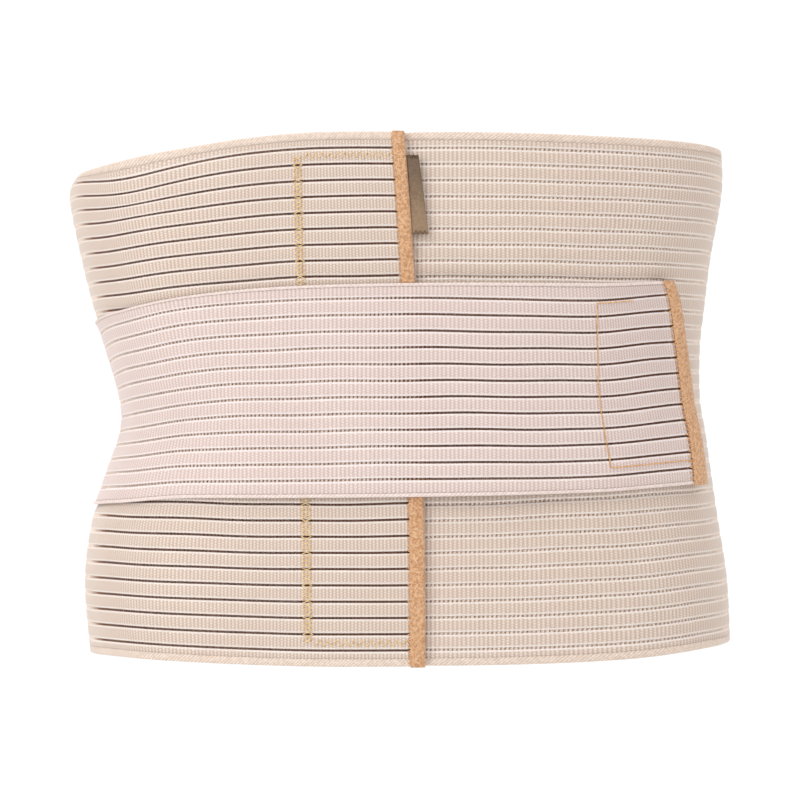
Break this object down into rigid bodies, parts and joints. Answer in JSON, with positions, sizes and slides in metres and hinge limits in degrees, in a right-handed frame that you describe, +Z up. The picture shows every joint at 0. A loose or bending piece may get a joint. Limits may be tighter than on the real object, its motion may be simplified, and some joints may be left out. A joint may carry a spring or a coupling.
{
  "type": "abdominal binder",
  "caption": "Wide open-weave elastic belt wound round the waist, held by a narrower tension band that crosses the front and sticks down at the side.",
  "frame": {"origin": "middle of the hollow at the waist, at mid height of the belt, where the wearer's waist holds it", "axes": "+Z up along the wearer's body, -Y to the front, +X to the right side of the front view (the wearer's left)"},
  "size_m": [0.3048, 0.204, 0.231],
  "materials": {
    "belt_elastic": "matte ribbed elastic, beige",
    "band_elastic": "matte ribbed elastic, pale pink beige",
    "binding_tape": "woven fuzzy tape, tan orange",
    "hook_panel": "woven tape with a field of fine hooks",
    "label_satin": "grey taupe satin ribbon"
  },
  "bodies": {
    "root": {"main_belt": "belt_elastic", "tension_band": "band_elastic", "flap_binding": "binding_tape", "inner_end_binding": "binding_tape", "band_binding": "binding_tape", "band_root_binding": "binding_tape", "flap_hook_panel": "hook_panel", "band_hook_panel": "hook_panel", "side_label": "label_satin"}
  },
  "joints": []
}
